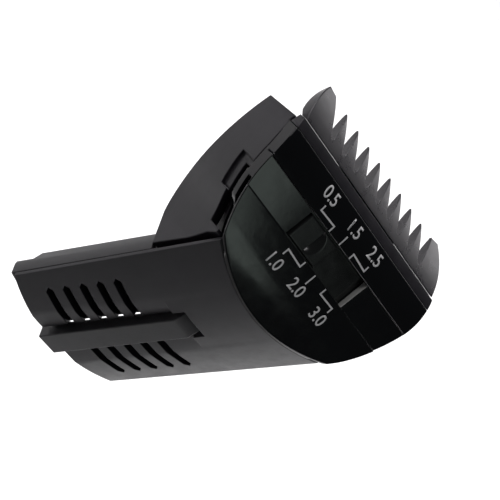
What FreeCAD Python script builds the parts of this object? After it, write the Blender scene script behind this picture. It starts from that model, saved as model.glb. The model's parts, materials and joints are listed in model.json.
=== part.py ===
import FreeCAD, Part
import math
import os
import Sketcher

# Adjustable comb head of a beard trimmer.  Millimetres, +Z along the trimmer's handle, comb on top.
# X is the width, -Y the front.  The origin is where the head's tail enters the handle:
# mid-plane, half way up the two side rails, at the end of the tail.
# The sloping front carries a "face frame": x across, u up the slope, w out of the face.

os.makedirs("parts", exist_ok=True)
doc = FreeCAD.newDocument("trimmer_comb_head")
sheet = doc.addObject("Spreadsheet::Sheet", "Sizes")

# A size that starts with "=" follows the others it names.
SIZES = {
    # sloping face and its window
    "face_angle": 45, "face_y": 5.0, "face_z": 47.5,
    "cover_wall": 1.2, "skirt_depth": 2.2, "skirt_wall": 1.0, "band_depth": 0.22, "band_flush": 0.03,
    "crown_radius": 13.3, "rim_u": 7.75, "rim_gap": 0.03, "lip_u": 9.4, "lip_low_w": -3.15,
    "seam_gap": 0.12, "cover_room_u": 4.8,
    "chin_u": -7.8, "chin_slope": 0.07, "foot_lip": 0.65, "foot_ledge": 2.1, "foot_ledge_radius": 34.6,
    # outline of the hood seen square to the face
    "side_radius": 23.5, "side_margin": 12.7, "side_reach": "=window_half_length + side_margin",
    "side_centre_u": 6.0, "side_end_u": -9.86,
    "neck_half_width": "=tail_half_width + 1.1", "neck_u": -13.0, "wing_wall": 1.5, "top_u": 8.8,
    # snap arm of the cover and the opening it shows in
    "arm_top_u": -0.9, "arm_end_u": -8.9, "arm_drop": 1.35, "arm_wall": 1.15, "arm_leg": 0.55,
    "arm_slot_w": -0.45,
    "latch_window_low_u": -9.4, "latch_window_depth": 4.0,
    "latch_pad_low_u": -4.9, "latch_pad_high_u": 0.3, "latch_pad_depth": 5.8, "latch_pad_sink": 0.5,
    # side profile of the wings, in the face frame
    "heel_u": 8.45, "heel_w": -10.95, "back_radius": 38.0, "back_low_u": -7.0, "back_low_w": -14.35,
    "toe_u": -13.6, "toe_w": -14.2, "toe_radius": 7.2, "wing_bottom_z": "=face_z - 19.8",
    "wing_front_y": "=shell_edge_y + 0.82",
    "wing_front_u": "=((wing_front_y - face_y) / sin(face_angle * 1deg) - 14.15) / 2",
    "wing_front_w": "=(-(wing_front_y - face_y) / sin(face_angle * 1deg) - 14.15) / 2",
    "blend_high_u": -7.0, "blend_low_u": -13.5, "blend_radius": 17.0, "wing_depth": 18.0,
    # sliding mechanism
    "notch_pitch": 1.63, "notch_count": 6, "travel": "=notch_pitch * (notch_count - 1)",
    "length_range": 2.5, "cam_rise": "=length_range / sin(face_angle * 1deg)",
    "cam_length": "=sqrt(travel ^ 2 + cam_rise ^ 2)",
    "button_half_length": 3.83, "button_half_height": 2.3, "button_x": "=-travel / 2 - 0.275",
    "button_sink": 0.2, "scoop_length": 2.7, "scoop_half_height": 1.9, "scoop_depth": 0.6,
    "window_half_length": "=travel / 2 + button_half_length + 0.845",
    "window_half_height": "=button_half_height + 0.24", "crown_start_u": "=window_half_height + 0.06",
    "flange_left_x": "=-window_half_length - travel - 0.2", "flange_right_x": "=window_half_length + 0.85",
    "flange_half_height": "=window_half_height + 0.76", "flange_top_w": -1.35,
    "carriage_left_x": "=-follower_x - travel - 1.85", "carriage_right_x": "=follower_x + 1.7",
    "carriage_half_height": "=flange_half_height + 0.9", "carriage_top_w": -2.1, "carriage_low_w": -3.25,
    "follower_x": 5.3, "follower_radius": 0.7, "cam_clearance": 0.05,
    "detent_depth": 0.5, "detent_half_width": 0.5, "detent_leaf_height": 1.0, "detent_leaf_wall": 0.3,
    "detent_half_length": 4.2, "boss_spread": 3.6, "boss_size": 1.0,
    "carrier_top_w": -3.5, "carrier_step_w": -4.35, "carrier_low_w": -5.1,
    "carrier_low_u": -6.4, "carrier_high_u": 5.0, "carrier_half_width": 12.6, "carrier_corner_u": 1.6,
    "tongue_half_width": 8.8, "tongue_low_u": 0.6, "lap_gap": 0.1,
    "rod_x": 11.0, "rod_radius": 0.45, "rod_clearance": 0.05, "rod_low_u": -10.4, "rod_high_u": 7.2,
    "rod_block_half": 1.4, "rod_block_height": 1.8, "rod_block_length": 2.2,
    # frame inside the hood
    "floor_top_w": -5.3, "floor_wall": 1.2, "floor_high_u": 7.2, "frame_gap": 0.1, "frame_wall": 1.4,
    "back_wall_u": 8.7, "post_inner_x": "=side_reach - 8.45", "post_outer_x": "=side_reach - 2.05",
    "post_top_w": -3.0, "side_wall_top_w": -3.5,
    "apron_half_width": "=tail_half_width - 3.35", "apron_low_z": "=web_top_z - 5.8",
    "apron_height": 10.0, "apron_wall": 1.4,
    # comb
    "valley_count": 9, "comb_half_width": "=side_reach - 0.75",
    "tooth_pitch": "=2 * comb_half_width / (valley_count + 2.5)",
    "valley_y": 14.7, "valley_radius": 0.46, "tip_y": 21.06, "tip_half_width": 0.12,
    "end_tip_x": "=comb_half_width - 2.5", "end_tip_y": 21.5, "end_tooth_radius": 13.0,
    "end_tooth_y": 13.4, "comb_top_radius": 27.0, "comb_tip_z": "=face_z + 5.95",
    "comb_back_radius": 17.0, "comb_blade": 0.2,
    # tail
    "arch_radius": 49.0, "arch_front": 4.1, "shell_wall": 1.4, "shell_edge": 0.6,
    "tail_half_width": 13.85, "tail_flare": 0.028, "shell_edge_x": "=tail_half_width + 0.84",
    "shell_edge_y": "=arch_radius - arch_front - sqrt((arch_radius - shell_edge) ^ 2 - shell_edge_x ^ 2)",
    "shell_end_z": 0.85, "shell_end_radius": 60.0,
    "shell_step_x": "=tail_half_width - 1.95",
    "slot_count": 5, "slot_pitch": 3.1, "slot_low_z": 6.5, "slot_slant": 0.65, "slot_width": 1.3,
    "slot_outer_x": "=tail_half_width - 2.85",
    "groove_half_width": 3.0, "facet_half_width": 6.0, "facet_depth": 0.55,
    "facet_top_z": "=face_z - 22.3", "groove_top_z": "=face_z - 20.2",
    "rail_end_z": 1.6, "rail_top_z": "=face_z - 19.9", "rail_inner_x": "=tail_half_width - 1.65",
    "rail_back": 2.05, "rail_step_y": 0.3, "rail_fit": 0.05,
    "web_wall": 1.4, "web_half_width": "=tail_half_width - 2.15", "web_top_z": "=face_z - 16.2",
    "web_gap": 0.05, "lead_in_y": 0.95, "lead_in_z": 4.85,
    # latch tongue and the leaf that springs it
    "tongue_bar_half": 2.2, "tongue_front": 4.65, "tongue_back": 2.4, "tongue_room": 0.35,
    "bevel_start_z": "=face_z - 22.45", "tongue_top_z": "=face_z - 20.6", "bevel_foot_y": -3.5,
    "hinge_low_z": 1.2, "hinge_high_z": 4.0, "hinge_back_y": -1.15,
    "pivot_y": -1.9, "pivot_z": 2.4, "pivot_radius": 0.45, "pivot_half_length": 4.0, "pivot_fit": 0.05,
    "leaf_wall": 0.2, "leaf_gap": 0.08, "leaf_width": 3.2, "leaf_length": 11.6,
    "leaf_top_z": "=web_top_z - 0.7",
    # screws
    "screw_radius": 0.55, "screw_head_radius": 1.1, "screw_head": 0.7,
    "small_screw_radius": 0.4, "small_screw_head_radius": 0.85, "small_screw_head": 0.4,
    "wing_screw_u": 2.0, "wing_screw_w": -4.4, "comb_screw_u": 3.2, "comb_screw_pitch": 6.0,
    "frame_screw_x": 6.5, "frame_screw_z": "=web_top_z - 2.0",
}
for row, alias in enumerate(SIZES, start=1):
    sheet.set("A%d" % row, alias)
    sheet.setAlias("B%d" % row, alias)
for alias, size in SIZES.items():
    sheet.set(alias, str(size))
doc.recompute()
CELL = {alias: "Sizes." + alias for alias in SIZES}
SIZE = {alias: float(sheet.get(alias)) for alias in SIZES}
V = FreeCAD.Vector
UPRIGHT = FreeCAD.Placement()
FACE = FreeCAD.Placement(V(0, SIZE["face_y"], SIZE["face_z"]),
                         FreeCAD.Rotation(V(1, 0, 0), SIZE["face_angle"]))
REACH = 100.0   # longer than any piece, for cuts that pass right through
BLANK = "2 * {side_reach} + 8"   # wider than the hood, for pieces trimmed to its outline afterwards
HALF_ROUND = 1.0001   # a slot's round end is a hair over half its width, so its arc has a centre
nodes = []


def sheet_text(text):
    """Turns '{wing_wall} / 2' into an expression on the sheet's cells."""
    return str(text).format_map(CELL)


def size_of(text):
    return float(sheet.evalExpression(sheet_text(text)))


def bind(thing, prop, text):
    thing.setExpression(prop, sheet_text(text))


def new_body(name, frame):
    body = doc.addObject("PartDesign::Body", name + "_body")
    body.Placement = frame
    return body


def sketch_on(body, role, name, offset=None):
    """Sketch on one of the body's own origin planes, shifted or turned by an offset placement."""
    sketch = body.newObject("Sketcher::SketchObject", name)
    plane = [f for f in body.Origin.OriginFeatures if f.Role == role][0]
    sketch.AttachmentSupport = [(plane, "")]
    sketch.MapMode = "FlatFace"
    if offset is not None:
        sketch.AttachmentOffset = offset
    return sketch


def arc_centre(a, b, radius):
    """Centre of the arc from a to b that turns counter-clockwise for a positive radius."""
    mid = (a + b) * 0.5
    half = (b - a).Length / 2
    rise = math.sqrt(radius * radius - half * half)
    across = V(-(b - a).y, (b - a).x, 0).normalize()
    return mid + across * (rise if radius > 0 else -rise)


def add_loop(sketch, points, arcs=None):
    """Closed outline.  points are pairs of expressions, arcs maps an edge number to a signed radius."""
    arcs = arcs or {}
    first = sketch.GeometryCount
    spots = [V(size_of(x), size_of(y), 0) for x, y in points]
    count = len(spots)
    for i, a in enumerate(spots):
        b = spots[(i + 1) % count]
        if i not in arcs:
            sketch.addGeometry(Part.LineSegment(a, b))
            continue
        radius = size_of(arcs[i])
        centre = arc_centre(a, b, radius)
        circle = Part.Circle(centre, V(0, 0, 1), abs(radius))
        start, end = (a, b) if radius > 0 else (b, a)
        sketch.addGeometry(Part.ArcOfCircle(circle, circle.parameter(start), circle.parameter(end)))
    def ends(i):
        backwards = i in arcs and size_of(arcs[i]) < 0
        return (2, 1) if backwards else (1, 2)
    for i in range(count):
        nxt = (i + 1) % count
        sketch.addConstraint(Sketcher.Constraint("Coincident", first + i, ends(i)[1],
                                                 first + nxt, ends(nxt)[0]))
    for i, (x, y) in enumerate(points):
        for kind, text in (("DistanceX", x), ("DistanceY", y)):
            spot = sketch.addConstraint(
                Sketcher.Constraint(kind, -1, 1, first + i, ends(i)[0], size_of(text)))
            sketch.setExpression("Constraints[%d]" % spot, sheet_text(text))
    for i, radius in arcs.items():
        spot = sketch.addConstraint(Sketcher.Constraint("Radius", first + i, abs(size_of(radius))))
        sketch.setExpression("Constraints[%d]" % spot, "abs(%s)" % sheet_text(radius))


def box_loop(sketch, x0, x1, y0, y1):
    add_loop(sketch, [(x0, y0), (x1, y0), (x1, y1), (x0, y1)])


def circle_in(sketch, x, y, radius):
    at = sketch.addGeometry(Part.Circle(V(size_of(x), size_of(y), 0), V(0, 0, 1), size_of(radius)))
    for kind, text in (("DistanceX", x), ("DistanceY", y)):
        spot = sketch.addConstraint(Sketcher.Constraint(kind, -1, 1, at, 3, size_of(text)))
        sketch.setExpression("Constraints[%d]" % spot, sheet_text(text))
    spot = sketch.addConstraint(Sketcher.Constraint("Radius", at, size_of(radius)))
    sketch.setExpression("Constraints[%d]" % spot, sheet_text(radius))


def pad(body, sketch, length, middle=False, down=False):
    feature = body.newObject("PartDesign::Pad", sketch.Name + "_pad")
    feature.Profile = sketch
    bind(feature, "Length", length)
    if middle:
        feature.SideType = "Symmetric"
    feature.Reversed = down
    doc.recompute()
    return feature


def pocket(body, sketch, length=None, up=False):
    """Cut of a given depth against the sketch's normal, or right through both ways."""
    before = body.Shape.Volume
    feature = body.newObject("PartDesign::Pocket", sketch.Name + "_cut")
    feature.Profile = sketch
    if length is None:
        feature.Length = REACH * 2
        feature.SideType = "Symmetric"
    else:
        bind(feature, "Length", length)
        feature.Reversed = up
    doc.recompute()
    if not body.Shape.Volume < before - 1e-6:
        raise RuntimeError(sketch.Name + " cuts nothing")
    return feature


def shift(z_text):
    return FreeCAD.Placement(V(0, 0, size_of(z_text)), FreeCAD.Rotation())


def level_plane(z_text):
    """Offset that lays a face-frame body's XY sketch level, at a height in the upright frame."""
    return FACE.inverse().multiply(FreeCAD.Placement(V(0, 0, size_of(z_text)), FreeCAD.Rotation()))


def keep(thing, node):
    thing.Label = node
    nodes.append((node, thing))
    return thing


def drilled(node, body, *fasteners):
    """The body with the room its screws, pins and rods take cut out of it."""
    tool = doc.addObject("Part::Compound", node + "_holes")
    tool.Links = [copy_of(f, node) for f in fasteners]
    cut = doc.addObject("Part::Cut", node + "_drilled")
    cut.Base = body
    cut.Tool = tool
    return keep(cut, node)


def copy_of(thing, node):
    link = doc.addObject("App::Link", node + "_" + thing.Name)
    link.LinkedObject = thing
    link.LinkTransform = True
    return link


def cylinder(name, radius, length, spot, axis):
    rod = doc.addObject("Part::Cylinder", name)
    bind(rod, "Radius", radius)
    bind(rod, "Height", length)
    rod.Placement = FreeCAD.Placement(spot, FreeCAD.Rotation(V(0, 0, 1), axis))
    return rod


def on_face(x, u, w):
    return FACE.multVec(V(size_of(x), size_of(u), size_of(w)))


def face_direction(x, u, w):
    return FACE.Rotation.multVec(V(x, u, w))


def group(node, things):
    cluster = doc.addObject("Part::Compound", node)
    cluster.Links = things
    return cluster


def screws(node, spots, length, kind="screw"):
    """Pan-head screws; each spot is the seat of the head and the way the shank points."""
    made = []
    for i, (spot, way) in enumerate(spots):
        name = "%s_%d" % (node, i)
        head = cylinder(name + "_head", "{%s_head_radius}" % kind, "{%s_head}" % kind,
                        spot - way * SIZE[kind + "_head"], way)
        shank = cylinder(name + "_shank", "{%s_radius}" % kind, length, spot, way)
        screw = doc.addObject("Part::MultiFuse", name)
        screw.Shapes = [head, shank]
        made.append(screw)
    return keep(group(node, made), node)


# ---- outlines shared by several pieces -------------------------------------------------------

def side_x(u_text, inset):
    """Half width of the hood at a height u on its rounded side."""
    return ("({side_reach} - {side_radius} + sqrt(({side_radius} - %s) ^ 2 - (%s - {side_centre_u}) ^ 2))"
            % (inset, u_text))


def half_outline(inset, high_u, low_u):
    """Right-hand corners of the hood's outline, from the top down, with the rounded edge's number."""
    neck = "{neck_half_width} - %s" % inset
    corners = [(side_x(high_u, inset), high_u), (side_x("{side_end_u}", inset), "{side_end_u}")]
    if size_of(low_u) < size_of("{neck_u}"):
        corners.append((neck, "{neck_u}"))
        corners.append((neck, low_u))
    return corners


def wing_outline(inset):
    """Right-hand corners of a wing: the hood's rounded side, then a hollow blend into the neck."""
    neck = "{neck_half_width} - %s" % inset
    return [(side_x("{top_u}", inset), "{top_u}"), (side_x("{blend_high_u}", inset), "{blend_high_u}"),
            (neck, "{blend_low_u}"), (neck, "-22")]


def hood_loop(sketch, inset, high_u, low_u):
    right = half_outline(inset, high_u, low_u)
    left = [("-(%s)" % x, u) for x, u in reversed(right)]
    radius = "-({side_radius} - %s)" % inset
    add_loop(sketch, right + left, {0: radius, 2 * len(right) - 2: radius})


def side_strip(sketch, side, high_u, low_u, outer_inset, inner_inset):
    """Strip along the hood's rounded side, between two heights and two distances in from the outline."""
    sign, outward, inward = ("", "-", "") if side > 0 else ("-", "", "-")
    add_loop(sketch,
             [(sign + side_x(high_u, outer_inset), high_u), (sign + side_x(low_u, outer_inset), low_u),
              (sign + side_x(low_u, inner_inset), low_u), (sign + side_x(high_u, inner_inset), high_u)],
             {0: "%s({side_radius} - (%s))" % (outward, outer_inset),
              2: "%s({side_radius} - (%s))" % (inward, inner_inset)})


def outside_hood(body, name):
    sketch = sketch_on(body, "XY_Plane", name)
    box_loop(sketch, "-40", "40", "-40", "40")
    hood_loop(sketch, "0", "{lip_u} + 2", "{neck_u} - 12")
    return pocket(body, sketch)


def crown(depth, u_text):
    """Height of the crowned surface, sunk by a depth, above a point at or past the crown's start."""
    return "sqrt(({crown_radius} - %s) ^ 2 - (%s - {crown_start_u}) ^ 2) - {crown_radius}" % (depth, u_text)


def arch_y(radius, x):
    """Depth of the tail's arched front, or of a surface inside it, at a distance across."""
    return "{arch_radius} - {arch_front} - sqrt((%s) ^ 2 - (%s) ^ 2)" % (radius, x)


# ---- face cover ------------------------------------------------------------------------------

def scale_cover():
    body = new_body("scale_cover", FACE)
    profile = sketch_on(body, "YZ_Plane", "cover_profile")
    add_loop(profile,
             [("-16", "-(16 + {chin_u}) * {chin_slope}"), ("-16", "-{skirt_depth}"),
              ("{crown_start_u}", "-{skirt_depth}"),
              ("{rim_u}", crown("{skirt_depth}", "{rim_u}")), ("{rim_u}", crown("0", "{rim_u}")),
              ("{crown_start_u}", "0"), ("{chin_u}", "0")],
             {2: "-({crown_radius} - {skirt_depth})", 4: "{crown_radius}"})
    pad(body, profile, BLANK, middle=True)
    arm = sketch_on(body, "YZ_Plane", "cover_arm")
    add_loop(arm,
             [("{arm_top_u}", "-{cover_wall}"), ("{arm_top_u} - {arm_leg}", "-{cover_wall}"),
              ("{arm_top_u} - {arm_leg}", "-{arm_drop}"), ("{arm_end_u}", "-{arm_drop}"),
              ("{arm_end_u}", "-{arm_drop} - {arm_wall}"), ("{arm_top_u}", "-{arm_drop} - {arm_wall}")])
    pad(body, arm, BLANK, middle=True)
    outside_hood(body, "cover_sides")
    room = sketch_on(body, "XY_Plane", "cover_room", shift("-{cover_wall}"))
    hood_loop(room, "{skirt_wall}", "{cover_room_u}", "{neck_u} - 6")
    pocket(body, room, "10")
    flank = sketch_on(body, "XY_Plane", "cover_flank", shift("{arm_slot_w}"))
    for side in (1, -1):
        side_strip(flank, side, "{arm_top_u} - {arm_leg}", "-11", "-1", "{skirt_wall} + 0.1")
    pocket(body, flank, "{arm_slot_w} + {arm_drop}")
    below = sketch_on(body, "YZ_Plane", "cover_below_arm")
    box_loop(below, "-20", "{arm_end_u}", "-{skirt_depth} - 1", "-{cover_wall}")
    box_loop(below, "{arm_end_u}", "{arm_top_u} - {arm_leg}",
             "-{skirt_depth} - 1", "-{arm_drop} - {arm_wall}")
    pocket(body, below)
    foot = sketch_on(body, "XY_Plane", "cover_foot", level_plane("0"))
    add_loop(foot, [("-25", arch_y("{arch_radius}", "25")), ("25", arch_y("{arch_radius}", "25")),
                    ("25", "-30"), ("-25", "-30")], {0: "{arch_radius}"})
    pocket(body, foot)
    ledge = sketch_on(body, "XY_Plane", "foot_ledge", shift("-{foot_lip}"))
    edge = "({foot_ledge_radius} - {foot_ledge})"
    lowest = "({face_y} + {arch_front}) / sin({face_angle} * 1 deg)"
    height = "({foot_ledge_radius} - %s - sqrt(%s ^ 2 - 20 ^ 2))" % (lowest, edge)
    add_loop(ledge, [("-20", height), ("20", height), ("20", "-30"), ("-20", "-30")], {0: edge})
    pocket(body, ledge, "{skirt_depth}")
    window = sketch_on(body, "XY_Plane", "cover_window")
    box_loop(window, "-{window_half_length}", "{window_half_length}",
             "-{window_half_height}", "{window_half_height}")
    pocket(body, window)
    band = sketch_on(body, "YZ_Plane", "cover_band")
    add_loop(band, [("-{window_half_height}", "0.2"), ("-{window_half_height}", "-{band_depth}"),
                    ("{window_half_height}", "-{band_flush}"), ("{window_half_height}", "0.2")])
    pocket(body, band)
    boss_foot = "{carriage_low_w} + {detent_leaf_height}"
    bosses = sketch_on(body, "XY_Plane", "spring_bosses", shift(boss_foot))
    for middle in ("({button_x} - {boss_spread})", "({button_x} + {boss_spread})"):
        box_loop(bosses, middle + " - {boss_size} / 2", middle + " + {boss_size} / 2",
                 "-{carriage_half_height} - 1.2", "-{carriage_half_height} - 0.4")
    pad(body, bosses, "-{cover_wall} - (%s)" % boss_foot)
    return keep(body, "scale_cover")


# ---- slider ----------------------------------------------------------------------------------

def slider_button():
    body = new_body("slider_button", FACE)
    stem = sketch_on(body, "XY_Plane", "button_stem", shift("{flange_top_w}"))
    box_loop(stem, "{button_x} - {button_half_length}", "{button_x} + {button_half_length}",
             "-{button_half_height}", "{button_half_height}")
    pad(body, stem, "-{flange_top_w} - {button_sink}")
    flange = sketch_on(body, "XY_Plane", "button_flange", shift("{carriage_top_w}"))
    box_loop(flange, "{flange_left_x}", "{flange_right_x}", "-{flange_half_height}", "{flange_half_height}")
    pad(body, flange, "{flange_top_w} - {carriage_top_w}")
    scoop = sketch_on(body, "XY_Plane", "button_scoop")
    add_loop(scoop, [("{button_x}", "-{scoop_half_height}"), ("{button_x} + {scoop_length}", "0"),
                     ("{button_x}", "{scoop_half_height}")])
    pocket(body, scoop, "{button_sink} + {scoop_depth}")
    return body


def slider_carriage():
    body = new_body("slider_carriage", FACE)
    plate = sketch_on(body, "XY_Plane", "carriage_plate", shift("{carriage_low_w}"))
    box_loop(plate, "{carriage_left_x}", "{carriage_right_x}",
             "-{carriage_half_height}", "{carriage_half_height}")
    pad(body, plate, "{carriage_top_w} - {carriage_low_w}")
    cams = sketch_on(body, "XY_Plane", "cam_slots")
    radius = "({follower_radius} + {cam_clearance})"
    across = "%s * {cam_rise} / {cam_length}" % radius
    up = "%s * {travel} / {cam_length}" % radius
    end = "%s * %s" % (radius, HALF_ROUND)
    for pin in ("-{follower_x}", "{follower_x}"):
        near = "%s %%s %s" % (pin, across)
        far = "%s - {travel} %%s %s" % (pin, across)
        low = "-{cam_rise} / 2 %%s %s" % up
        high = "{cam_rise} / 2 %%s %s" % up
        add_loop(cams, [(near % "-", low % "-"), (near % "+", low % "+"),
                        (far % "+", high % "+"), (far % "-", high % "-")], {0: end, 2: end})
    pocket(body, cams)
    notch = sketch_on(body, "XY_Plane", "detent_notch")
    add_loop(notch, [("{button_x} - {detent_half_width}", "-{carriage_half_height} - 0.1"),
                     ("{button_x} + {detent_half_width}", "-{carriage_half_height} - 0.1"),
                     ("{button_x}", "-{carriage_half_height} + {detent_depth}")])
    cut = pocket(body, notch)
    row = body.newObject("PartDesign::LinearPattern", "detent_row")
    row.Originals = [cut]
    row.Direction = (notch, ["H_Axis"])
    row.Reversed = True
    bind(row, "Length", "{travel}")
    row.Occurrences = int(SIZE["notch_count"])
    body.Tip = row
    doc.recompute()
    return body


def button_screws():
    spots = [(on_face("{button_x} + %s" % x, u, "{carriage_low_w} + 0.6"), face_direction(0, 0, 1))
             for x, u in ((-1.25, 2.3), (2.05, -2.4))]
    return screws("button_screws", spots, "0.9", "small_screw")


# ---- comb and its carrier --------------------------------------------------------------------

def comb_carrier():
    body = new_body("comb_carrier", FACE)
    plate = sketch_on(body, "XY_Plane", "carrier_plate", shift("{carrier_low_w}"))
    box_loop(plate, "-{carrier_half_width}", "{carrier_half_width}", "{carrier_low_u}", "{carrier_high_u}")
    pad(body, plate, "{carrier_top_w} - {carrier_low_w}")
    lap = sketch_on(body, "XY_Plane", "carrier_lap", shift("{carrier_step_w}"))
    box_loop(lap, "-{tongue_half_width} - {lap_gap}", "{tongue_half_width} + {lap_gap}",
             "{tongue_low_u} - {lap_gap}", "{carrier_high_u} + 1")
    pocket(body, lap, "3", up=True)
    corners = sketch_on(body, "XY_Plane", "carrier_corners")
    for side in ("", "-"):
        box_loop(corners, "%s({tongue_half_width} + 0.6)" % side, "%s({carrier_half_width} + 1)" % side,
                 "{carrier_corner_u}", "{carrier_high_u} + 1")
    pocket(body, corners)
    bores = sketch_on(body, "XZ_Plane", "carrier_bores")
    for side in ("", "-"):
        circle_in(bores, side + "{rod_x}", "({carrier_top_w} + {carrier_low_w}) / 2",
                  "{rod_radius} + {rod_clearance}")
    pocket(body, bores)
    return body


def comb():
    body = new_body("comb", UPRIGHT)
    seam = on_face("0", "{lip_u} + {seam_gap}", crown("0", "{lip_u}"))
    profile = sketch_on(body, "YZ_Plane", "comb_profile")
    low = on_face("0", "{lip_u} + {seam_gap}", "{carrier_top_w}")
    add_loop(profile,
             [(seam.y, seam.z), (low.y, low.z), ("%f + 1.2" % low.y, "%f - 0.3" % low.z),
              ("{end_tip_y}", "{comb_tip_z} - 0.15 - {comb_blade}"), ("{end_tip_y}", "{comb_tip_z} - 0.15")],
             {2: "{comb_back_radius}", 4: "{comb_top_radius}"})
    pad(body, profile, "2 * {comb_half_width}", middle=True)
    gap = sketch_on(body, "XY_Plane", "tooth_gap")
    first = "-{tooth_pitch} * ({valley_count} - 1) / 2"
    wide = "{tooth_pitch} / 2 - {tip_half_width}"
    add_loop(gap,
             [("%s - {valley_radius} * 0.98" % first, "{valley_y} + {valley_radius}"),
              ("%s + {valley_radius} * 0.98" % first, "{valley_y} + {valley_radius}"),
              ("%s + %s" % (first, wide), "{tip_y}"),
              ("%s + {tooth_pitch} / 2 + 0.01" % first, "{tip_y} + 0.05"),
              ("%s + {tooth_pitch} / 2 + 0.01" % first, "{end_tip_y} + 2"),
              ("%s - {tooth_pitch} / 2 - 0.01" % first, "{end_tip_y} + 2"),
              ("%s - {tooth_pitch} / 2 - 0.01" % first, "{tip_y} + 0.05"),
              ("%s - %s" % (first, wide), "{tip_y}")],
             {0: "{valley_radius}"})
    cut = pocket(body, gap)
    teeth = body.newObject("PartDesign::LinearPattern", "teeth")
    teeth.Originals = [cut]
    teeth.Direction = (gap, ["H_Axis"])
    bind(teeth, "Length", "{tooth_pitch} * ({valley_count} - 1)")
    teeth.Occurrences = int(SIZE["valley_count"])
    body.Tip = teeth
    doc.recompute()
    shoulders = sketch_on(body, "XY_Plane", "end_teeth")
    inner = "{tooth_pitch} * {valley_count} / 2 + 0.01"
    for side, turn in (("", ""), ("-", "-")):
        add_loop(shoulders,
                 [("%s{comb_half_width}" % side, "{end_tooth_y}"), ("%s{end_tip_x}" % side, "{end_tip_y}"),
                  ("%s(%s)" % (side, inner), "{tip_y}"), ("%s(%s)" % (side, inner), "{end_tip_y} + 2"),
                  ("%s({comb_half_width} + 2)" % side, "{end_tip_y} + 2"),
                  ("%s({comb_half_width} + 2)" % side, "{end_tooth_y}")],
                 {0: turn + "{end_tooth_radius}"})
    pocket(body, shoulders)
    tongue = sketch_on(body, "XY_Plane", "comb_tongue",
                       FACE.multiply(FreeCAD.Placement(V(0, 0, SIZE["carrier_step_w"]), FreeCAD.Rotation())))
    box_loop(tongue, "-{tongue_half_width}", "{tongue_half_width}", "{tongue_low_u}", "{lip_u} + 0.9")
    pad(body, tongue, "{carrier_top_w} - {carrier_step_w}")
    return body


def follower_pins():
    pins = [cylinder("follower_pin_%d" % i, "{follower_radius}",
                     "{carriage_top_w} - 0.1 - {carrier_low_w} - 0.3",
                     on_face("%d * {follower_x}" % side, "-{cam_rise} / 2", "{carrier_low_w} + 0.3"),
                     face_direction(0, 0, 1))
            for i, side in enumerate((-1, 1))]
    return keep(group("follower_pins", pins), "follower_pins")


def comb_screws():
    spots = [(on_face("%d * {comb_screw_pitch}" % step, "{comb_screw_u}", "{carrier_top_w} - 0.45"),
              face_direction(0, 0, -1)) for step in (-1, 0, 1)]
    return screws("comb_screws", spots, "1.1", "small_screw")


def guide_rod(side, name):
    rod = cylinder(name, "{rod_radius}", "{rod_high_u} - {rod_low_u}",
                   on_face("%d * {rod_x}" % side, "{rod_low_u}", "({carrier_top_w} + {carrier_low_w}) / 2"),
                   face_direction(0, 1, 0))
    return keep(rod, name)


# ---- hood ------------------------------------------------------------------------------------

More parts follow.
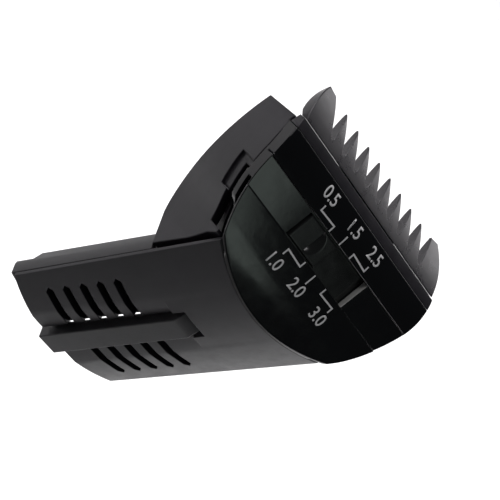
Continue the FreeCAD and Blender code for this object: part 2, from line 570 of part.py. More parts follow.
def hood_frame():
    body = new_body("hood_frame", FACE)
    inset = "({wing_wall} + {frame_gap})"
    lip = sketch_on(body, "YZ_Plane", "lip_profile")
    add_loop(lip,
             [("{rim_u} + {rim_gap}", crown("0", "({rim_u} + {rim_gap})")),
              ("{rim_u} + {rim_gap}", "{lip_low_w}"), ("{lip_u}", "{lip_low_w}"),
              ("{lip_u}", crown("0", "{lip_u}"))], {3: "{crown_radius}"})
    pad(body, lip, BLANK, middle=True)
    outside_hood(body, "lip_ends")
    floor = sketch_on(body, "XY_Plane", "floor_plate", shift("{floor_top_w} - {floor_wall}"))
    hood_loop(floor, inset, "{floor_high_u}", "{neck_u} - 0.5")
    pad(body, floor, "{floor_wall}")
    walls = sketch_on(body, "XY_Plane", "side_walls", shift("{floor_top_w} - {floor_wall}"))
    for side in ("", "-"):
        turn = "-" if side == "" else ""
        outer = "({side_radius} - %s)" % inset
        inner = "({side_radius} - %s - {frame_wall})" % inset
        deep = "(%s + {frame_wall})" % inset
        add_loop(walls,
                 [("%s%s" % (side, side_x("{back_wall_u}", inset)), "{back_wall_u}"),
                  ("%s%s" % (side, side_x("{side_end_u}", inset)), "{side_end_u}"),
                  ("%s%s" % (side, side_x("{side_end_u}", deep)), "{side_end_u}"),
                  ("%s%s" % (side, side_x("{back_wall_u}", deep)), "{back_wall_u}")],
                 {0: turn + outer, 2: ("" if turn else "-") + inner})
    pad(body, walls, "{side_wall_top_w} - {floor_top_w} + {floor_wall}")
    posts = sketch_on(body, "XY_Plane", "lip_posts", shift("{floor_top_w} - {floor_wall}"))
    for side in ("", "-"):
        box_loop(posts, side + "{post_inner_x}", side + "{post_outer_x}",
                 "{rim_u} + {rim_gap}", "{back_wall_u}")
    pad(body, posts, "{post_top_w} - {floor_top_w} + {floor_wall}")
    blocks = sketch_on(body, "XY_Plane", "rod_blocks", shift("{floor_top_w}"))
    for side in ("", "-"):
        for low, high in (("{rod_low_u}", "{rod_low_u} + {rod_block_length}"),
                          ("{rod_high_u} - {rod_block_length} + 0.6", "{rod_high_u}")):
            box_loop(blocks, side + "({rod_x} - {rod_block_half})",
                     side + "({rod_x} + {rod_block_half})", low, high)
    pad(body, blocks, "{rod_block_height}")
    apron = sketch_on(body, "XY_Plane", "apron", level_plane("{apron_low_z}"))
    wide = "{apron_half_width}"
    outer = "({arch_radius} - {shell_wall} - {web_wall} - {frame_gap})"
    inner = "(%s - {apron_wall})" % outer
    add_loop(apron,
             [("-" + wide, arch_y(outer, wide)), (wide, arch_y(outer, wide)),
              (wide, arch_y(inner, wide)), ("-" + wide, arch_y(inner, wide))],
             {0: outer, 2: "-" + inner})
    pad(body, apron, "{apron_height}")
    leaf_room = sketch_on(body, "XY_Plane", "leaf_room", level_plane("{leaf_top_z} - 5.6"))
    box_loop(leaf_room, "-{leaf_width} / 2 - 0.3", "{leaf_width} / 2 + 0.3", "-3", "1.5")
    pocket(body, leaf_room, "6.2", up=True)
    return body


def side_wing(side, name):
    body = new_body(name, FACE)
    sign = "-" if side < 0 else ""
    band = sketch_on(body, "XY_Plane", name + "_band", shift("-{wing_depth}"))
    turn = "-" if side > 0 else ""
    back = "" if side > 0 else "-"
    outer = wing_outline("0")
    inner = wing_outline("{wing_wall}")
    corners = [(sign + "(%s)" % x, u) for x, u in outer + inner[::-1]]
    add_loop(band, corners,
             {0: turn + "{side_radius}", 1: back + "{blend_radius}",
              5: turn + "({blend_radius} + {wing_wall})", 6: back + "({side_radius} - {wing_wall})"})
    pad(body, band, "{wing_depth}")
    profile = sketch_on(body, "YZ_Plane", name + "_profile")
    box_loop(profile, "-45", "45", "-45", "45")
    bottom = FACE.inverse().multVec(V(0, SIZE["wing_front_y"], SIZE["wing_bottom_z"]))
    add_loop(profile,
             [("{top_u}", crown("({skirt_depth} + 0.1)", "{rim_u}")), ("{heel_u}", "{heel_w}"),
              ("{back_low_u}", "{back_low_w}"), ("{toe_u}", "{toe_w}"),
              (bottom.y, bottom.z), ("{wing_front_u}", "{wing_front_w}"),
              ("{side_end_u}", "-{cover_wall} - 0.08"),
              ("{arm_top_u} + 0.3", "-{cover_wall} - 0.08"),
              ("{arm_top_u} + 0.3", "-{skirt_depth} - 0.1"),
              ("{crown_start_u}", "-{skirt_depth} - 0.1"),
              ("{rim_u}", crown("({skirt_depth} + 0.1)", "{rim_u}"))],
             {1: "{back_radius}", 2: "-{toe_radius}", 9: "-({crown_radius} - {skirt_depth} - 0.1)"})
    pocket(body, profile)
    window = sketch_on(body, "YZ_Plane", name + "_window")
    box_loop(window, "{latch_window_low_u}", "{arm_top_u} + 0.3", "-{latch_window_depth}", "0")
    pocket(body, window)
    sink = sketch_on(body, "XY_Plane", name + "_pad", shift("-{latch_pad_depth}"))
    side_strip(sink, side, "{latch_pad_high_u}", "{latch_pad_low_u}", "-1", "{latch_pad_sink}")
    pocket(body, sink, "{latch_pad_depth} - {skirt_depth}", up=True)
    return body


# ---- tail ------------------------------------------------------------------------------------

def tail_front_shell():
    body = new_body("tail_front_shell", UPRIGHT)
    section = sketch_on(body, "XY_Plane", "shell_section")
    wide, step = "({tail_half_width} + 1.75)", "{shell_step_x}"
    edge = "({arch_radius} - {shell_edge})"
    inner = "({arch_radius} - {shell_wall})"
    add_loop(section,
             [("-" + wide, arch_y("{arch_radius}", wide)), (wide, arch_y("{arch_radius}", wide)),
              (wide, arch_y(edge, wide)), (step, arch_y(edge, step)), (step, arch_y(inner, step)),
              ("-" + step, arch_y(inner, step)), ("-" + step, arch_y(edge, step)),
              ("-" + wide, arch_y(edge, wide))],
             {0: "{arch_radius}", 2: "-" + edge, 4: "-" + inner, 6: "-" + edge})
    pad(body, section, "{face_z} - 5.5")
    trim = sketch_on(body, "XZ_Plane", "shell_outline")
    box_loop(trim, "-40", "40", "-5", "{face_z} + 12")
    corner = "({shell_end_z} + {shell_end_radius} - sqrt({shell_end_radius} ^ 2 - {tail_half_width} ^ 2))"
    top = "({tail_half_width} + {face_z} * {tail_flare})"
    add_loop(trim,
             [("-{tail_half_width}", corner), ("{tail_half_width}", corner),
              (top, "{face_z}"), ("-" + top, "{face_z}")],
             {0: "{shell_end_radius}"})
    pocket(body, trim)
    bevel = sketch_on(body, "YZ_Plane", "shell_top")
    low = on_face("0", "-20", "-{foot_lip} - 0.05")
    high = on_face("0", "10", "-{foot_lip} - 0.05")
    add_loop(bevel, [(low.y, low.z), (high.y, high.z), (low.y, high.z)])
    pocket(body, bevel)
    groove = sketch_on(body, "XZ_Plane", "shell_groove")
    box_loop(groove, "-{groove_half_width}", "{groove_half_width}", "-3", "{groove_top_z}")
    pocket(body, groove)
    facets = sketch_on(body, "XY_Plane", "shell_facets")
    for side in ("", "-"):
        add_loop(facets,
                 [(side + "{facet_half_width}", arch_y("{arch_radius}", "{facet_half_width}")),
                  (side + "({groove_half_width} - 0.5)", "-{arch_front} - 1"),
                  (side + "({groove_half_width} - 0.5)", "-{arch_front} + {facet_depth}")])
    pocket(body, facets, "{facet_top_z}", up=True)
    slots = sketch_on(body, "XZ_Plane", "slots")
    shoulder = "({slot_outer_x} - {slot_width} / 2)"
    for side in ("", "-"):
        add_loop(slots,
                 [(side + "({groove_half_width} - 0.5)", "{slot_low_z} - {slot_width} / 2"),
                  (side + shoulder, "{slot_low_z} + {slot_slant} - {slot_width} / 2"),
                  (side + "{slot_outer_x}", "{slot_low_z} + {slot_slant}"),
                  (side + shoulder, "{slot_low_z} + {slot_slant} + {slot_width} / 2"),
                  (side + "({groove_half_width} - 0.5)", "{slot_low_z} + {slot_width} / 2")])
    cut = pocket(body, slots)
    row = body.newObject("PartDesign::LinearPattern", "slot_row")
    row.Originals = [cut]
    row.Direction = (slots, ["V_Axis"])
    bind(row, "Length", "{slot_pitch} * ({slot_count} - 1)")
    row.Occurrences = int(SIZE["slot_count"])
    body.Tip = row
    doc.recompute()
    return body


def rail_frame():
    body = new_body("rail_frame", UPRIGHT)
    web = sketch_on(body, "XY_Plane", "web_section", shift("{rail_end_z}"))
    front = "({arch_radius} - {shell_wall} - {web_gap})"
    back = "(%s - {web_wall})" % front
    wide = "{web_half_width}"
    add_loop(web,
             [("-" + wide, arch_y(front, wide)), (wide, arch_y(front, wide)),
              (wide, arch_y(back, wide)), ("-" + wide, arch_y(back, wide))],
             {0: front, 2: "-" + back})
    pad(body, web, "{web_top_z} - {rail_end_z}")
    seat = "{arch_radius} - {shell_edge} - 0.08"
    neck, root = "({rail_inner_x} - 0.2)", "({rail_inner_x} - 0.6)"
    root_front, root_back = arch_y(front, root) + " + 0.61", arch_y(back, root) + " - 0.03"
    for name, side in (("right", ""), ("left", "-")):
        ends = []
        for height in ("{rail_end_z}", "{rail_top_z}"):
            outer = "({tail_half_width} - {rail_fit} + {tail_flare} * %s)" % height
            section = sketch_on(body, "XY_Plane", "rail_%s_%d" % (name, len(ends)), shift(height))
            add_loop(section,
                     [(side + neck, arch_y(seat, neck)), (side + outer, arch_y(seat, outer)),
                      (side + outer, "{rail_step_y}"), (side + "(%s - 0.5)" % outer, "{rail_back}"),
                      (side + "{rail_inner_x}", "{rail_back}"),
                      (side + "{rail_inner_x}", root_back + " + 0.1"),
                      (side + root, root_back), (side + root, root_front), (side + neck, root_front)])
            ends.append(section)
        loft = body.newObject("PartDesign::AdditiveLoft", "rail_" + name)
        loft.Profile = ends[0]
        loft.Sections = [ends[1]]
        loft.Ruled = True
        doc.recompute()
    lead = sketch_on(body, "YZ_Plane", "rail_lead_in")
    add_loop(lead, [("{lead_in_y}", "0"), ("{lead_in_y}", "{lead_in_z}"),
                    ("{rail_back} + 0.1", "{lead_in_z} + {rail_back} + 0.1 - {lead_in_y}"),
                    ("{rail_back} + 0.1", "0")])
    pocket(body, lead)
    well = sketch_on(body, "XZ_Plane", "web_openings")
    box_loop(well, "-{tongue_bar_half} - {tongue_room}", "{tongue_bar_half} + {tongue_room}",
             "0", "{groove_top_z}")
    pocket(body, well)
    return body


def latch_tongue():
    body = new_body("latch_tongue", UPRIGHT)
    side = sketch_on(body, "YZ_Plane", "tongue_side")
    add_loop(side,
             [("-{tongue_front}", "0"), ("-{tongue_front}", "{bevel_start_z}"),
              ("{bevel_foot_y}", "{tongue_top_z}"), ("-{tongue_back}", "{tongue_top_z}"),
              ("-{tongue_back}", "{hinge_high_z} + {hinge_low_z}"), ("{hinge_back_y}", "{hinge_high_z}"),
              ("{hinge_back_y}", "{hinge_low_z}"), ("-{tongue_back}", "0")])
    pad(body, side, "2 * {tongue_bar_half}", middle=True)
    bore = sketch_on(body, "YZ_Plane", "tongue_bore")
    circle_in(bore, "{pivot_y}", "{pivot_z}", "{pivot_radius} + {pivot_fit}")
    pocket(body, bore)
    return keep(body, "latch_tongue")


def latch_pivot_pin():
    pin = cylinder("latch_pivot_pin", "{pivot_radius}", "2 * {pivot_half_length}",
                   V(-SIZE["pivot_half_length"], SIZE["pivot_y"], SIZE["pivot_z"]), V(1, 0, 0))
    return keep(pin, "latch_pivot_pin")


def latch_leaf_spring():
    body = new_body("latch_leaf_spring", UPRIGHT)
    strip = sketch_on(body, "YZ_Plane", "leaf_side")
    front = "-{arch_front} + {shell_wall} + {web_wall} + {leaf_gap}"
    box_loop(strip, front, front + " + {leaf_wall}", "{leaf_top_z} - {leaf_length}", "{leaf_top_z}")
    pad(body, strip, "{leaf_width}", middle=True)
    return body


def detent_spring():
    body = new_body("detent_spring", FACE)
    strip = sketch_on(body, "XY_Plane", "detent_leaf", shift("{carriage_low_w}"))
    line = "(-{carriage_half_height} - 0.9)"
    left, right = "{button_x} - {detent_half_length}", "{button_x} + {detent_half_length}"
    front = line + " + {detent_leaf_wall}"
    add_loop(strip,
             [(left, line), (right, line), (right, front), ("{button_x} + 0.6", front),
              ("{button_x}", line + " + 0.84"), ("{button_x} - 0.6", front), (left, front)])
    pad(body, strip, "{detent_leaf_height}")
    return body


# ---- assembly --------------------------------------------------------------------------------

def build():
    scale_cover()
    button, carriage = slider_button(), slider_carriage()
    fixings = button_screws()
    drilled("slider_button", button, fixings)
    drilled("slider_carriage", carriage, fixings)
    pins, ties = follower_pins(), comb_screws()
    drilled("comb", comb(), ties)
    drilled("comb_carrier", comb_carrier(), ties, pins)
    rods = [guide_rod(side, "carrier_guide_rod_" + name) for side, name in ((-1, "left"), (1, "right"))]
    inward = "({wing_wall} + {frame_gap} + {frame_wall})"
    wing_spots = [(on_face("%d * %s" % (side, side_x("{wing_screw_u}", inward)), "{wing_screw_u}",
                           "{wing_screw_w}"), V(side, 0, 0)) for side in (-1, 1)]
    wing_ties = screws("wing_screws", wing_spots, "2.3")
    back = "{arch_radius} - {shell_wall} - {web_wall} - {apron_wall} - {frame_gap}"
    frame_spots = [(V(side * SIZE["frame_screw_x"], size_of(arch_y(back, "{frame_screw_x}")),
                      SIZE["frame_screw_z"]), V(0, -1, 0)) for side in (-1, 1)]
    frame_ties = screws("frame_screws", frame_spots, "3.4")
    drilled("hood_frame", hood_frame(), wing_ties, frame_ties, *rods)
    for side, name in ((-1, "side_wing_left"), (1, "side_wing_right")):
        drilled(name, side_wing(side, name), wing_ties)
    drilled("tail_front_shell", tail_front_shell(), frame_ties)
    latch_tongue()
    pin = latch_pivot_pin()
    leaf = latch_leaf_spring()
    leaf_seat = size_of("-{arch_front} + {shell_wall} + {web_wall} + 0.25")
    leaf_ties = screws("leaf_screw", [(V(0, leaf_seat, SIZE["frame_screw_z"]), V(0, -1, 0))], "1.4")
    drilled("latch_leaf_spring", leaf, leaf_ties)
    drilled("rail_frame", rail_frame(), frame_ties, pin, leaf_ties)
    keep(detent_spring(), "detent_spring")


def export():
    doc.recompute()
    for thing in doc.Objects:
        if "Invalid" in thing.State or "Error" in thing.State:
            raise RuntimeError("%s did not compute: %s" % (thing.Name, thing.State))
    for node, thing in nodes:
        shape = thing.Shape
        if shape.isNull() or not shape.isValid():
            raise RuntimeError(node + " has no valid shape")
        shape.exportStep("parts/%s.step" % node)
        box = shape.BoundBox
        print("%-24s solids %d volume %9.2f  x %.2f..%.2f y %.2f..%.2f z %.2f..%.2f" % (
            node, len(shape.Solids), shape.Volume, box.XMin, box.XMax, box.YMin, box.YMax,
            box.ZMin, box.ZMax))


build()
export()
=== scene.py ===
import bpy
import bmesh
import json
import math
from mathutils import Matrix, Vector


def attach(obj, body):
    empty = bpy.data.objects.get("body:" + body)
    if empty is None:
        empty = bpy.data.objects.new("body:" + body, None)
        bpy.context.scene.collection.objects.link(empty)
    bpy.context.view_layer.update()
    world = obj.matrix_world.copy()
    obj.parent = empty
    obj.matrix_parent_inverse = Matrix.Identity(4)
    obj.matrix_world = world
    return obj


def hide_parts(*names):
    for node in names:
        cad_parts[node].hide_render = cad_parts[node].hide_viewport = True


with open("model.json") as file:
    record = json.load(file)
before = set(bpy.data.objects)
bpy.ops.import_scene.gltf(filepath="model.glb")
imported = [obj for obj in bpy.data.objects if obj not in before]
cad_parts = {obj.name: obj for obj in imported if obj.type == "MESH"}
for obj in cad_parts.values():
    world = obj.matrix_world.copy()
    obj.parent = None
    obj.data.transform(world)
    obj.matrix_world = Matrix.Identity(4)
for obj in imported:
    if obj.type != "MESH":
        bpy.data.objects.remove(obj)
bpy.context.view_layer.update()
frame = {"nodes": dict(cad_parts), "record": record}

# Looks of the beard trimmer's comb head, in the part's own frame: +Z along the trimmer, comb on
# top, -Y the front.  Sizes of the head are in millimetres and pass through MM once; merge
# distances, grain depths and the studio are in metres.

MM = 0.001
scene = bpy.context.scene

# The sloping face: x across, u up the slope, w out of it.
FACE_ORIGIN = Vector((0, 5.0, 47.5)) * MM
FACE_TURN = Matrix.Rotation(math.radians(45), 3, "X")
WINDOW_HALF_HEIGHT = 2.54
BAND_DEPTH = 0.22      # at the band's lower edge; its upper edge is all but flush
BAND_FLUSH = 0.03
CHIN_START = -7.8
CHIN_SLOPE = 0.07
CROWN_START = 2.6
CROWN_RADIUS = 13.3

# Mouldings: vertices closer than MERGE are one, faces flatter than FLAT are joined, edges
# sharper than EDGE_ANGLE are rounded.
MERGE = 2e-6
FLAT = math.radians(0.4)
EDGE_ANGLE = math.radians(32.0)
EDGE_SEGMENTS = 3


def on_face(x, u, w):
    """A point of the sloping face, given in millimetres across, up and out."""
    return FACE_ORIGIN + FACE_TURN @ (Vector((x, u, w)) * MM)


def face_height(u):
    """How high the face stands at a height u: chin, flat, the sunk band, then the crown."""
    if u < CHIN_START:
        return (u - CHIN_START) * CHIN_SLOPE
    if abs(u) < WINDOW_HALF_HEIGHT:
        return -BAND_FLUSH - (BAND_DEPTH - BAND_FLUSH) * (WINDOW_HALF_HEIGHT - u) / (2 * WINDOW_HALF_HEIGHT)
    if u <= CROWN_START:
        return 0.0
    return math.sqrt(CROWN_RADIUS ** 2 - (u - CROWN_START) ** 2) - CROWN_RADIUS


# ---- materials -------------------------------------------------------------------------------

def node(tree, kind, inputs=None, **settings):
    made = tree.nodes.new(kind)
    for name, value in settings.items():
        setattr(made, name, value)
    for name, value in (inputs or {}).items():
        made.inputs[name].default_value = value
    return made


def noise(tree, scale, detail=3.0, roughness=0.55):
    """Noise in the object's own space; scale is in waves per metre."""
    place = node(tree, "ShaderNodeTexCoord")
    grain = node(tree, "ShaderNodeTexNoise", {"Scale": scale, "Detail": detail, "Roughness": roughness})
    tree.links.new(place.outputs["Object"], grain.inputs["Vector"])
    return grain


def ramp(tree, source, low, high, spots=(0.3, 0.7)):
    band = node(tree, "ShaderNodeValToRGB")
    band.color_ramp.elements[0].position = spots[0]
    band.color_ramp.elements[0].color = (*low, 1)
    band.color_ramp.elements[1].position = spots[1]
    band.color_ramp.elements[1].color = (*high, 1)
    tree.links.new(source.outputs["Fac"], band.inputs["Fac"])
    return band


def spread(tree, source, low, high):
    """Maps a noise to a range of plain numbers."""
    scaled = node(tree, "ShaderNodeMapRange",
                  {"From Min": 0.3, "From Max": 0.7, "To Min": low, "To Max": high})
    tree.links.new(source.outputs["Fac"], scaled.inputs["Value"])
    return scaled


def new_material(name):
    material = bpy.data.materials.new(name)
    material.use_nodes = True
    tree = material.node_tree
    return material, tree, tree.nodes["Principled BSDF"]


def bump(tree, shader, source, depth, strength):
    relief = node(tree, "ShaderNodeBump", {"Strength": strength, "Distance": depth})
    tree.links.new(source.outputs["Fac"], relief.inputs["Height"])
    tree.links.new(relief.outputs["Normal"], shader.inputs["Normal"])


def moulded_plastic(name, dark, light, dull, shiny, grain_depth, flow=90.0, grain=5200.0):
    """Moulded plastic: slow colour flow, uneven sheen and a fine spark-eroded grain."""
    material, tree, shader = new_material(name)
    clouds = noise(tree, flow, 4.0)
    tint = ramp(tree, clouds, dark, light)
    tree.links.new(tint.outputs["Color"], shader.inputs["Base Color"])
    sheen = spread(tree, noise(tree, 420.0, 5.0, 0.65), shiny, dull)
    tree.links.new(sheen.outputs["Result"], shader.inputs["Roughness"])
    shader.inputs["IOR"].default_value = 1.5
    bump(tree, shader, noise(tree, grain, 2.0), grain_depth, 0.35)
    return material


def spring_steel(name, base, dull, shiny):
    material, tree, shader = new_material(name)
    tint = ramp(tree, noise(tree, 1500.0, 4.0), [c * 0.82 for c in base], base)
    tree.links.new(tint.outputs["Color"], shader.inputs["Base Color"])
    sheen = spread(tree, noise(tree, 2600.0, 5.0), shiny, dull)
    tree.links.new(sheen.outputs["Result"], shader.inputs["Roughness"])
    shader.inputs["Metallic"].default_value = 1.0
    return material


def floor_paper():
    material, tree, shader = new_material("white_sweep")
    tint = ramp(tree, noise(tree, 35.0, 3.0), (0.93, 0.93, 0.93), (0.95, 0.95, 0.95))
    tree.links.new(tint.outputs["Color"], shader.inputs["Base Color"])
    shader.inputs["Roughness"].default_value = 0.95
    shader.inputs["Specular IOR Level"].default_value = 0.1
    return material


HOOD = moulded_plastic("hood_plastic", (0.009, 0.008, 0.011), (0.015, 0.013, 0.0175), 0.42, 0.28, 2.2e-5)
GLOSS = moulded_plastic("gloss_cover_plastic", (0.0012, 0.0014, 0.0020), (0.0022, 0.0024, 0.0032),
                        0.13, 0.07, 0.5e-5, grain=1500.0)
BUTTON = moulded_plastic("gloss_button_plastic", (0.009, 0.010, 0.0095), (0.015, 0.016, 0.0155),
                         0.22, 0.12, 0.8e-5, grain=2200.0)
COMB = moulded_plastic("comb_plastic", (0.017, 0.0155, 0.0185), (0.026, 0.024, 0.028), 0.36, 0.24, 1.2e-5)
RAIL = moulded_plastic("rail_plastic", (0.013, 0.0125, 0.0145), (0.020, 0.019, 0.022), 0.40, 0.28, 1.6e-5)
ACETAL = moulded_plastic("acetal", (0.035, 0.035, 0.037), (0.05, 0.05, 0.052), 0.5, 0.38, 1.5e-5)
STEEL = spring_steel("bright_steel", (0.60, 0.60, 0.62), 0.36, 0.2)
INK = moulded_plastic("white_ink", (0.70, 0.70, 0.70), (0.80, 0.80, 0.80), 0.6, 0.45, 0.8e-5, flow=1800.0)
# Painted highlight: a pale grey that stands in for the light caught by the end wall of the slider's slot.
PAINTED_HIGHLIGHT_GREY = moulded_plastic("painted_highlight_wall", (0.45, 0.45, 0.43), (0.55, 0.55, 0.52), 0.5, 0.4, 1.0e-5)

FINISH = {"gloss_cover": GLOSS, "gloss_button": BUTTON, "acetal": ACETAL, "steel": STEEL,
          "comb_grey": COMB, "hood_grey": HOOD, "rail_grey": RAIL}


def dress_cad_nodes():
    """Every CAD node takes the finish of its own slot in the record."""
    for part in frame["record"]["subparts"]:
        for spot in frame["nodes"][part["node"]].material_slots:
            spot.material = FINISH[part["material_slot"]]


# ---- pieces ----------------------------------------------------------------------------------

def add_piece(name, mesh, body, material):
    piece = bpy.data.objects.new(name, mesh)
    scene.collection.objects.link(piece)
    mesh.materials.clear()
    mesh.materials.append(material)
    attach(piece, body)
    return piece


def soft_edges(piece, width):
    """Rounds a moulding's sharp edges and keeps its large faces reading flat."""
    rounding = piece.modifiers.new("edges", "BEVEL")
    rounding.width = width * MM
    rounding.segments = EDGE_SEGMENTS
    rounding.limit_method = "ANGLE"
    rounding.angle_limit = EDGE_ANGLE
    rounding.use_clamp_overlap = False
    shading = piece.modifiers.new("shading", "WEIGHTED_NORMAL")
    shading.weight = 90
    shading.keep_sharp = True


def moulding(cad_name, body, slot, width):
    """The CAD node's own shape with moulded edges instead of knife edges."""
    mesh = frame["nodes"][cad_name].data.copy()
    work = bmesh.new()
    work.from_mesh(mesh)
    bmesh.ops.remove_doubles(work, verts=work.verts, dist=MERGE)
    bmesh.ops.dissolve_limit(work, angle_limit=FLAT, verts=work.verts, edges=work.edges)
    for face in work.faces:
        face.smooth = True
    work.to_mesh(mesh)
    work.free()
    piece = add_piece(cad_name + "_moulding", mesh, body, FINISH[slot])
    soft_edges(piece, width)
    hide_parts(cad_name)
    return piece


MOULDINGS = (
    ("scale_cover", "hood", "gloss_cover", 0.12),
    ("hood_frame", "hood", "hood_grey", 0.08),
    ("side_wing_left", "hood", "hood_grey", 0.15),
    ("side_wing_right", "hood", "hood_grey", 0.15),
    ("tail_front_shell", "hood", "hood_grey", 0.10),
    ("rail_frame", "hood", "rail_grey", 0.10),
    ("latch_tongue", "latch", "rail_grey", 0.16),
    ("comb", "comb_slide_unit", "comb_grey", 0.14),
)
SLOT_HALF_LENGTH = 8.75
WALL_TOLERANCE = 0.05


def paint_slot_end_highlight(cover):
    """Painted highlight: the end wall of the slider's slot on the +X side takes a pale grey that stands in
    for the light it catches.
    """
    cover.data.materials.append(PAINTED_HIGHLIGHT_GREY)
    for face in cover.data.polygons:
        spot = face.center - FACE_ORIGIN
        at_end = abs(spot.x - SLOT_HALF_LENGTH * MM) < WALL_TOLERANCE * MM and face.normal.x < -0.9
        if at_end:
            face.material_index = 1


# ---- slider button ---------------------------------------------------------------------------

BUTTON_X = -4.35           # middle of the button, where its scoop starts
BUTTON_HALF_LENGTH = 3.83
BUTTON_HALF_HEIGHT = 2.30
BUTTON_TOP = -0.14
BUTTON_FOOT = -1.40
PLATE_TOP = -1.37
SCOOP_DEPTH = 1.05
SCOOP_REACH = 2.15
SCOOP_HALF_HEIGHT = 2.12
SCOOP_LIP = 0.16           # how far the scoop's steep side reaches
BUTTON_ROLL = 0.22         # radius of the button's edges
BUTTON_STEPS = (96, 58)
SHARP_EDGE = math.radians(50)


def scoop_depth(x, u):
    """Finger scoop: a steep lens-shaped drop at the button's middle, rising like half a cone."""
    across = u / SCOOP_HALF_HEIGHT
    if abs(across) >= 1 or x <= 0:
        return 0.0
    lens = math.sqrt(1 - across * across)
    reach = SCOOP_REACH * lens
    if x >= reach:
        return 0.0
    drop = min(x / SCOOP_LIP, 1.0)
    rise = 1 - x / reach
    return SCOOP_DEPTH * lens * drop * (0.25 * rise + 0.75 * rise * rise)


def button_height(x, u):
    """Top of the button: a soft crown that rolls over at all four edges, less the scoop."""
    to_edge = min(BUTTON_HALF_LENGTH - abs(x), BUTTON_HALF_HEIGHT - abs(u))
    roll = max(0.0, BUTTON_ROLL - to_edge)
    rounded = BUTTON_ROLL - math.sqrt(max(BUTTON_ROLL ** 2 - roll ** 2, 0.0))
    return BUTTON_TOP - rounded - scoop_depth(x, u)


def slider_button():
    """The thumb button with its scoop."""
    columns, rows = BUTTON_STEPS
    work = bmesh.new()
    grid = []
    for i in range(columns + 1):
        x = -BUTTON_HALF_LENGTH + 2 * BUTTON_HALF_LENGTH * i / columns
        line = []
        for j in range(rows + 1):
            u = -BUTTON_HALF_HEIGHT + 2 * BUTTON_HALF_HEIGHT * j / rows
            line.append(work.verts.new(on_face(BUTTON_X + x, u, button_height(x, u))))
        grid.append(line)
    for i in range(columns):
        for j in range(rows):
            work.faces.new((grid[i][j], grid[i + 1][j], grid[i + 1][j + 1], grid[i][j + 1]))
    rim = [grid[i][0] for i in range(columns + 1)]
    rim += [grid[columns][j] for j in range(1, rows + 1)]
    rim += [grid[i][rows] for i in range(columns - 1, -1, -1)]
    rim += [grid[0][j] for j in range(rows - 1, 0, -1)]
    feet = []
    for vert in rim:
        flat = FACE_TURN.transposed() @ (vert.co - FACE_ORIGIN)
        feet.append(work.verts.new(on_face(flat.x / MM, flat.y / MM, BUTTON_FOOT)))
    count = len(rim)
    for i in range(count):
        after = (i + 1) % count
        work.faces.new((rim[after], rim[i], feet[i], feet[after]))
    work.faces.new(feet)
    bmesh.ops.recalc_face_normals(work, faces=work.faces)
    for face in work.faces:
        face.smooth = len(face.verts) == 4
    for edge in work.edges:
        if len(edge.link_faces) == 2 and edge.calc_face_angle() > SHARP_EDGE:
            edge.smooth = False
    mesh = bpy.data.meshes.new("slider_button_top")
    work.to_mesh(mesh)
    work.free()
    add_piece("slider_button_top", mesh, "slider", BUTTON)


def slider_plate():
    """The flat plate under the button, which keeps the slot closed as the button travels."""
    mesh = frame["nodes"]["slider_button"].data.copy()
    work = bmesh.new()
    work.from_mesh(mesh)
    bmesh.ops.remove_doubles(work, verts=work.verts, dist=MERGE)
    everything = work.verts[:] + work.edges[:] + work.faces[:]
    bmesh.ops.bisect_plane(work, geom=everything, plane_co=on_face(0, 0, PLATE_TOP),
                           plane_no=FACE_TURN @ Vector((0, 0, 1)), clear_outer=True)
    open_edges = [edge for edge in work.edges if edge.is_boundary]
    bmesh.ops.holes_fill(work, edges=open_edges, sides=0)
    bmesh.ops.recalc_face_normals(work, faces=work.faces)
    work.to_mesh(mesh)
    work.free()
    plate = add_piece("slider_button_plate", mesh, "slider", BUTTON)
    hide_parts("slider_button")


# ---- printed scale ---------------------------------------------------------------------------

NUMERALS = (("0.5", -8.41, 5.92), ("1.5", -0.92, 5.85), ("2.5", 5.70, 5.85),
            ("1.0", -6.37, -6.13), ("2.0", 0.18, -5.99), ("3.0", 7.09, -6.14))
NUMERAL_SIZE = 2.85
NUMERAL_WEIGHT = 0.02
LINE_WIDTH = 0.27
INK_PROUD = 0.012


def print_piece(name, mesh):
    add_piece(name, mesh, "hood", INK)


def lay_on_face(work):
    """Bends flat work, drawn in millimetres across and up, onto the face and gives it thickness."""
    bmesh.ops.triangulate(work, faces=work.faces)
    bmesh.ops.subdivide_edges(work, edges=work.edges, cuts=2)
    skin = list(work.faces)
    extruded = bmesh.ops.extrude_face_region(work, geom=skin)
    top = {v for v in extruded["geom"] if isinstance(v, bmesh.types.BMVert)}
    for vert in work.verts:
        x, u = vert.co.x, vert.co.y
        lift = INK_PROUD if vert in top else -INK_PROUD
        vert.co = on_face(x, u, face_height(u) + lift)
    bmesh.ops.recalc_face_normals(work, faces=work.faces)


def numeral(text, x, u):
    curve = bpy.data.curves.new("numeral", "FONT")
    curve.body = text
    curve.size = NUMERAL_SIZE
    curve.offset = NUMERAL_WEIGHT
    curve.align_x = "CENTER"
    curve.align_y = "CENTER"
    letter = bpy.data.objects.new("numeral", curve)
    scene.collection.objects.link(letter)
    bpy.context.view_layer.update()
    shape = bpy.data.meshes.new_from_object(letter.evaluated_get(bpy.context.evaluated_depsgraph_get()))
    bpy.data.objects.remove(letter)
    work = bmesh.new()
    work.from_mesh(shape)
    for vert in work.verts:
        vert.co.x += x
        vert.co.y += u
    lay_on_face(work)
    work.to_mesh(shape)
    work.free()
    print_piece("scale_numeral_" + text.replace(".", "_"), shape)


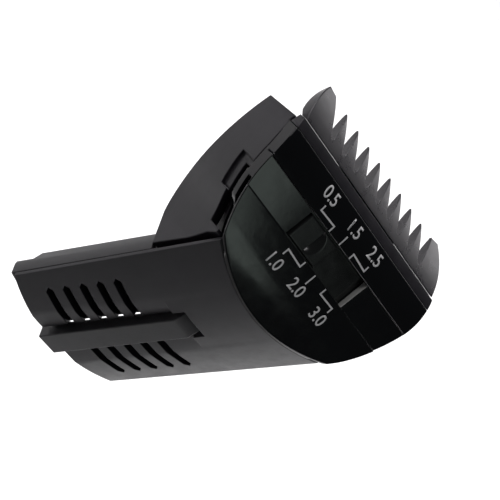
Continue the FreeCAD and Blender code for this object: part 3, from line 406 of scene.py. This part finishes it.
def stroke(name, points):
    """A printed line through points given across and up the face."""
    work = bmesh.new()
    half = LINE_WIDTH / 2
    left, right = [], []
    for i, (x, u) in enumerate(points):
        here = Vector((x, u))
        before = Vector(points[max(i - 1, 0)])
        after = Vector(points[min(i + 1, len(points) - 1)])
        one = (here - before).normalized() if i else (after - here).normalized()
        two = (after - here).normalized() if i < len(points) - 1 else one
        middle = (one + two).normalized()
        across = Vector((-middle.y, middle.x)) * (half / max(middle.dot(one), 0.4))
        left.append(work.verts.new((*(here + across), 0)))
        right.append(work.verts.new((*(here - across), 0)))
    for i in range(len(points) - 1):
        work.faces.new((left[i], right[i], right[i + 1], left[i + 1]))
    lay_on_face(work)
    mesh = bpy.data.meshes.new(name)
    work.to_mesh(mesh)
    work.free()
    print_piece(name, mesh)


TICKS = (
    ("scale_mark_0_5", ((-8.04, 4.50), (-8.04, 3.57), (-4.12, 3.70), (-4.12, 2.64))),
    ("scale_mark_1_5", ((-0.95, 4.41), (-0.95, 2.64))),
    ("scale_mark_2_5", ((2.30, 2.66), (2.30, 3.62), (6.08, 3.36), (6.08, 4.30))),
    ("scale_mark_1_0", ((-6.35, -4.53), (-6.35, -3.45), (-2.45, -3.68), (-2.45, -2.64))),
    ("scale_mark_2_0", ((0.72, -4.60), (0.72, -2.66))),
    ("scale_mark_3_0", ((4.04, -2.66), (4.04, -3.72), (7.72, -3.65), (7.72, -4.60))),
)


def printed_scale():
    for text, x, u in NUMERALS:
        numeral(text, x, u)
    for name, points in TICKS:
        stroke(name, points)


# ---- studio ----------------------------------------------------------------------------------

CAMERA_AT = Vector((-185.83, -158.28, 186.27)) * MM
CAMERA_RIGHT = Vector((0.47486, 0.24599, 0.84498))
CAMERA_UP = Vector((-0.61073, 0.78342, 0.11515))
LENS = 141.84
FLOOR_Z = -0.12
MIDDLE = Vector((0, 0.005, 0.03))   # where the softboxes aim

# Softboxes: name, place, size, power in watts and colour.
NEUTRAL = (1.0, 0.98, 1.0)
GREENISH = (0.86, 1.0, 0.92)
SOFTBOXES = (
    ("back_softbox", (0.36, 0.34, 0.24), 0.22, 0.36, NEUTRAL),
    ("left_softbox", (-0.30, 0.34, 0.26), 0.24, 1.60, NEUTRAL),
    ("top_softbox", (-0.22, 0.06, 0.52), 0.26, 0.85, NEUTRAL),
    ("right_low_softbox", (0.34, -0.16, -0.03), 0.16, 0.20, NEUTRAL),
    ("front_softbox", (0.2565, -0.287, 0.3155), 0.09, 0.028, GREENISH),
)
BACKDROP_LAMP = (0.22, 0.20, 0.62)
BACKDROP_AIM = (0.19, 0.18, FLOOR_Z)
BACKDROP_POWER = 22.0
BACKDROP_ANGLE = math.radians(40)


def studio():
    lens = bpy.data.cameras.new("camera")
    lens.lens = LENS
    lens.sensor_width = 36
    lens.clip_start = 0.005
    camera = bpy.data.objects.new("camera", lens)
    scene.collection.objects.link(camera)
    back = CAMERA_RIGHT.cross(CAMERA_UP)
    turn = Matrix((CAMERA_RIGHT, CAMERA_UP, back)).transposed()
    camera.matrix_world = Matrix.Translation(CAMERA_AT) @ turn.to_4x4()
    scene.camera = camera

    sheet = bmesh.new()
    bmesh.ops.create_grid(sheet, x_segments=24, y_segments=24, size=2.5)
    bmesh.ops.translate(sheet, verts=sheet.verts, vec=(0, 0, FLOOR_Z))
    mesh = bpy.data.meshes.new("floor")
    sheet.to_mesh(mesh)
    sheet.free()
    floor = bpy.data.objects.new("floor", mesh)
    scene.collection.objects.link(floor)
    mesh.materials.append(floor_paper())

    for box in SOFTBOXES:
        softbox(*box)
    backdrop_lamp()

    world = bpy.data.worlds.new("studio")
    scene.world = world
    world.use_nodes = True
    world.node_tree.nodes["Background"].inputs["Color"].default_value = (0.9, 0.95, 1.0, 1)
    world.node_tree.nodes["Background"].inputs["Strength"].default_value = 0.05
    scene.view_settings.view_transform = "Standard"


def hang(light, at, aim):
    lamp = bpy.data.objects.new(light.name, light)
    scene.collection.objects.link(lamp)
    lamp.location = at
    lamp.rotation_euler = (Vector(aim) - lamp.location).to_track_quat("-Z", "Y").to_euler()


def softbox(name, at, size, power, colour):
    """A square area light that faces the middle of the head."""
    light = bpy.data.lights.new(name, "AREA")
    light.size = size
    light.energy = power
    light.color = colour
    hang(light, at, MIDDLE)


def backdrop_lamp():
    """Lights the sweep behind the head to a clean white, clear of the head itself."""
    light = bpy.data.lights.new("backdrop_lamp", "SPOT")
    light.energy = BACKDROP_POWER
    light.spot_size = BACKDROP_ANGLE
    light.spot_blend = 0.3
    light.shadow_soft_size = 0.05
    hang(light, BACKDROP_LAMP, BACKDROP_AIM)


dress_cad_nodes()
shown = {part[0]: moulding(*part) for part in MOULDINGS}
# Paints the highlight on the end wall of the slider's slot.
paint_slot_end_highlight(shown["scale_cover"])
slider_button()
slider_plate()
printed_scale()
studio()

bpy.context.view_layer.update()
